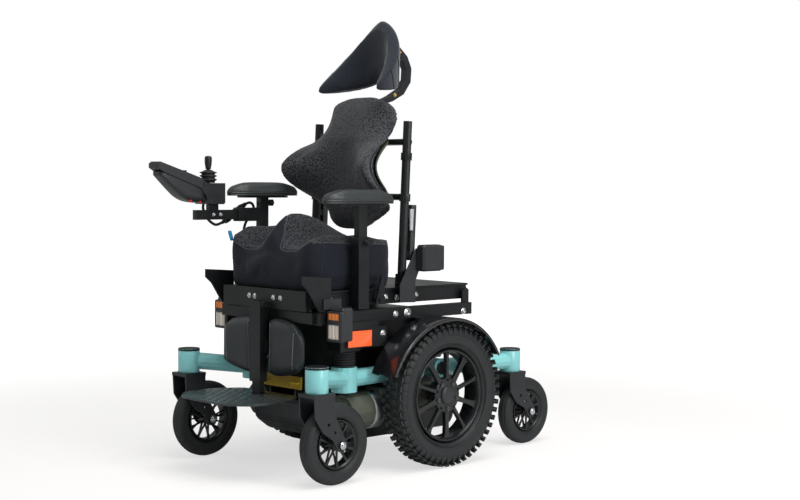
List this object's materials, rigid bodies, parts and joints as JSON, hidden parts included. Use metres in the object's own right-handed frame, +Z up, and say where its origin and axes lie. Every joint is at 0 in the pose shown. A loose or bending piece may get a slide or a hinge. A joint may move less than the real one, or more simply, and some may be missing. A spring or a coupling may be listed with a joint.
{
  "type": "pediatric power wheelchair",
  "caption": "Powered wheelchair for a child, with centre drive wheels, sprung casters, tilting seat, winged backrest and headrest, side joystick and a footplate on one mast.",
  "frame": {"origin": "middle of the chair's width and length, on the floor", "axes": "+X towards the seated person's left, +Y towards the rear, +Z up"},
  "size_m": [0.571, 1.0116, 1.102],
  "materials": {
    "black_paint": "satin powder coat",
    "black_gloss": "gloss",
    "black_plastic": "fine grain",
    "tyre_rubber": "matt",
    "mint_paint": "satin powder coat",
    "olive_paint": "satin",
    "steel": "zinc plated",
    "dark_steel": "dark grey enamel",
    "navy_fabric": "knitted cover over foam",
    "black_vinyl": "soft vinyl",
    "amber_lens": "clear moulded lens",
    "red_lens": "clear moulded lens",
    "yellow_paint": "gloss enamel"
  },
  "bodies": {
    "base": {"base_frame": "black_paint", "battery_box": "black_plastic", "drive_motor_left": "olive_paint", "drive_motor_right": "olive_paint", "power_controller": "black_plastic", "fender_left": "black_gloss", "fender_right": "black_gloss", "tie_down_bracket": "yellow_paint", "bellows_left": "black_plastic", "bellows_right": "black_plastic"},
    "drive_wheel_left": {"drive_rim_left": "black_gloss", "drive_tyre_left": "tyre_rubber"},
    "drive_wheel_right": {"drive_rim_right": "black_gloss", "drive_tyre_right": "tyre_rubber"},
    "front_arm_left": {"front_arm_left": "mint_paint"},
    "caster_fork_front_left": {"caster_fork_front_left": "dark_steel"},
    "caster_wheel_front_left": {"caster_rim_front_left": "black_gloss", "caster_tyre_front_left": "tyre_rubber"},
    "front_arm_right": {"front_arm_right": "mint_paint"},
    "caster_fork_front_right": {"caster_fork_front_right": "dark_steel"},
    "caster_wheel_front_right": {"caster_rim_front_right": "black_gloss", "caster_tyre_front_right": "tyre_rubber"},
    "rear_arm_left": {"rear_arm_left": "mint_paint"},
    "caster_fork_rear_left": {"caster_fork_rear_left": "dark_steel"},
    "caster_wheel_rear_left": {"caster_rim_rear_left": "black_gloss", "caster_tyre_rear_left": "tyre_rubber"},
    "rear_arm_right": {"rear_arm_right": "mint_paint"},
    "caster_fork_rear_right": {"caster_fork_rear_right": "dark_steel"},
    "caster_wheel_rear_right": {"caster_rim_rear_right": "black_gloss", "caster_tyre_rear_right": "tyre_rubber"},
    "seat": {"seat_frame": "black_paint", "seat_cushion": "navy_fabric", "front_light_left": "amber_lens", "front_light_right": "amber_lens", "rear_light_left": "red_lens", "rear_light_right": "red_lens"},
    "actuator_body": {"tilt_actuator_body": "dark_steel"},
    "actuator_rod": {"tilt_actuator_rod": "steel"},
    "back": {"back_frame": "black_paint", "back_shell": "olive_paint", "back_cushion": "navy_fabric"},
    "headrest_bracket": {"headrest_bracket": "dark_steel"},
    "headrest_pad": {"headrest_pad": "navy_fabric"},
    "armrest_left": {"armrest_post_left": "black_paint", "armrest_pad_left": "black_vinyl"},
    "armrest_right": {"armrest_post_right": "black_paint", "armrest_pad_right": "black_vinyl"},
    "joystick": {"joystick_mount": "black_paint", "joystick_pod": "black_plastic", "joystick_cable": "black_plastic", "joystick_boot": "black_plastic"},
    "gimbal": {"joystick_gimbal": "steel"},
    "stick": {"joystick_stick": "black_plastic"},
    "power_button": {"power_button": "steel"},
    "latch_lever": {"latch_lever": "black_paint"},
    "leg_upper": {"leg_mast": "black_paint", "calf_pad_left": "black_vinyl", "calf_pad_right": "black_vinyl"},
    "leg_lower": {"leg_mast_lower": "black_paint"},
    "footplate": {"footplate": "black_plastic"}
  },
  "joints": [
    {"name": "drive_wheel_left_spin", "type": "hinge", "parent": "base", "child": "drive_wheel_left", "pos_m": [0.2465, 0.03175, 0.175], "axis": [1, 0, 0], "continuous": true},
    {"name": "drive_wheel_right_spin", "type": "hinge", "parent": "base", "child": "drive_wheel_right", "pos_m": [-0.2465, 0.03175, 0.175], "axis": [1, 0, 0], "continuous": true},
    {"name": "front_arm_left_swing", "type": "hinge", "parent": "base", "child": "front_arm_left", "pos_m": [0.17, 0.00175, 0.23], "axis": [-1, 0, 0], "range_deg": [-1.5, 5], "stiffness_Nm_per_rad": 3000, "deforming": ["bellows_left"]},
    {"name": "caster_fork_front_left_swivel", "type": "hinge", "parent": "front_arm_left", "child": "caster_fork_front_left", "pos_m": [0.2455, -0.36825, 0.2154], "axis": [0, 0, 1], "continuous": true},
    {"name": "caster_wheel_front_left_spin", "type": "hinge", "parent": "caster_fork_front_left", "child": "caster_wheel_front_left", "pos_m": [0.2455, -0.31725, 0.0947], "axis": [1, 0, 0], "continuous": true},
    {"name": "front_arm_right_swing", "type": "hinge", "parent": "base", "child": "front_arm_right", "pos_m": [-0.17, 0.00175, 0.23], "axis": [-1, 0, 0], "range_deg": [-1.5, 5], "stiffness_Nm_per_rad": 3000, "deforming": ["bellows_right"]},
    {"name": "caster_fork_front_right_swivel", "type": "hinge", "parent": "front_arm_right", "child": "caster_fork_front_right", "pos_m": [-0.2455, -0.36825, 0.2154], "axis": [0, 0, 1], "continuous": true},
    {"name": "caster_wheel_front_right_spin", "type": "hinge", "parent": "caster_fork_front_right", "child": "caster_wheel_front_right", "pos_m": [-0.2455, -0.31725, 0.0947], "axis": [1, 0, 0], "continuous": true},
    {"name": "rear_arm_left_swing", "type": "hinge", "parent": "base", "child": "rear_arm_left", "pos_m": [0.17, 0.08175, 0.23], "axis": [1, 0, 0], "range_deg": [-1.5, 5], "stiffness_Nm_per_rad": 3000},
    {"name": "caster_fork_rear_left_swivel", "type": "hinge", "parent": "rear_arm_left", "child": "caster_fork_rear_left", "pos_m": [0.1695, 0.36275, 0.1977], "axis": [0, 0, 1], "continuous": true},
    {"name": "caster_wheel_rear_left_spin", "type": "hinge", "parent": "caster_fork_rear_left", "child": "caster_wheel_rear_left", "pos_m": [0.1695, 0.41775, 0.088], "axis": [1, 0, 0], "continuous": true},
    {"name": "rear_arm_right_swing", "type": "hinge", "parent": "base", "child": "rear_arm_right", "pos_m": [-0.17, 0.08175, 0.23], "axis": [1, 0, 0], "range_deg": [-1.5, 5], "stiffness_Nm_per_rad": 3000},
    {"name": "caster_fork_rear_right_swivel", "type": "hinge", "parent": "rear_arm_right", "child": "caster_fork_rear_right", "pos_m": [-0.1695, 0.36275, 0.1977], "axis": [0, 0, 1], "continuous": true},
    {"name": "caster_wheel_rear_right_spin", "type": "hinge", "parent": "caster_fork_rear_right", "child": "caster_wheel_rear_right", "pos_m": [-0.1695, 0.41775, 0.088], "axis": [1, 0, 0], "continuous": true},
    {"name": "seat_tilt", "type": "hinge", "parent": "base", "child": "seat", "pos_m": [0, 0.18675, 0.412], "axis": [-1, 0, 0], "range_deg": [0, 30]},
    {"name": "actuator_turn", "type": "hinge", "parent": "base", "child": "actuator_body", "pos_m": [0, -0.01825, 0.25], "axis": [-1, 0, 0], "range_deg": [0, 31]},
    {"name": "actuator_extend", "type": "slide", "parent": "actuator_body", "child": "actuator_rod", "axis": [0, -0.8096, 0.587], "range_m": [0, 0.14]},
    {"name": "back_recline", "type": "hinge", "parent": "seat", "child": "back", "pos_m": [0, -0.02975, 0.458], "axis": [-1, 0, 0], "range_deg": [0, 25]},
    {"name": "headrest_lift", "type": "slide", "parent": "back", "child": "headrest_bracket", "axis": [0, 0, 1], "range_m": [0, 0.055]},
    {"name": "headrest_tilt", "type": "hinge", "parent": "headrest_bracket", "child": "headrest_pad", "pos_m": [0, 0.10775, 1.026], "axis": [-1, 0, 0], "range_deg": [-4, 15]},
    {"name": "armrest_left_lift", "type": "slide", "parent": "seat", "child": "armrest_left", "axis": [0, 0, 1], "range_m": [0, 0.08]},
    {"name": "armrest_right_lift", "type": "slide", "parent": "seat", "child": "armrest_right", "axis": [0, 0, 1], "range_m": [-0.015, 0.065]},
    {"name": "joystick_reach", "type": "slide", "parent": "armrest_right", "child": "joystick", "axis": [0, -1, 0], "range_m": [0, 0.04]},
    {"name": "stick_fore_aft", "type": "hinge", "parent": "joystick", "child": "gimbal", "pos_m": [-0.2, -0.34325, 0.676], "axis": [1, 0, 0], "range_deg": [-20, 20], "stiffness_Nm_per_rad": 0.15, "deforming": ["joystick_boot"]},
    {"name": "stick_side", "type": "hinge", "parent": "gimbal", "child": "stick", "pos_m": [-0.2, -0.34325, 0.676], "axis": [0, 1, 0], "range_deg": [-20, 20], "stiffness_Nm_per_rad": 0.15, "deforming": ["joystick_boot"]},
    {"name": "power_button_press", "type": "slide", "parent": "joystick", "child": "power_button", "axis": [0, -0.3235, -0.9462], "range_m": [0, 0.0015], "stiffness_N_per_m": 300},
    {"name": "latch_lever_turn", "type": "hinge", "parent": "seat", "child": "latch_lever", "pos_m": [0.18, -0.11625, 0.408], "axis": [1, 0, 0], "range_deg": [-25, 25]},
    {"name": "leg_raise", "type": "hinge", "parent": "seat", "child": "leg_upper", "pos_m": [0, -0.34275, 0.4], "axis": [-1, 0, 0], "range_deg": [0, 60]},
    {"name": "leg_length", "type": "slide", "parent": "leg_upper", "child": "leg_lower", "axis": [0, 0, 1], "range_m": [-0.01, 0.025]},
    {"name": "footplate_angle", "type": "hinge", "parent": "leg_lower", "child": "footplate", "pos_m": [0, -0.34275, 0.1745], "axis": [-1, 0, 0], "range_deg": [-10, 10]}
  ],
  "couplings": [
    {"joint": "actuator_turn", "follows": "seat_tilt", "ratio": 1.0087},
    {"joint": "actuator_extend", "follows": "seat_tilt", "m_per_rad": 0.25829}
  ]
}
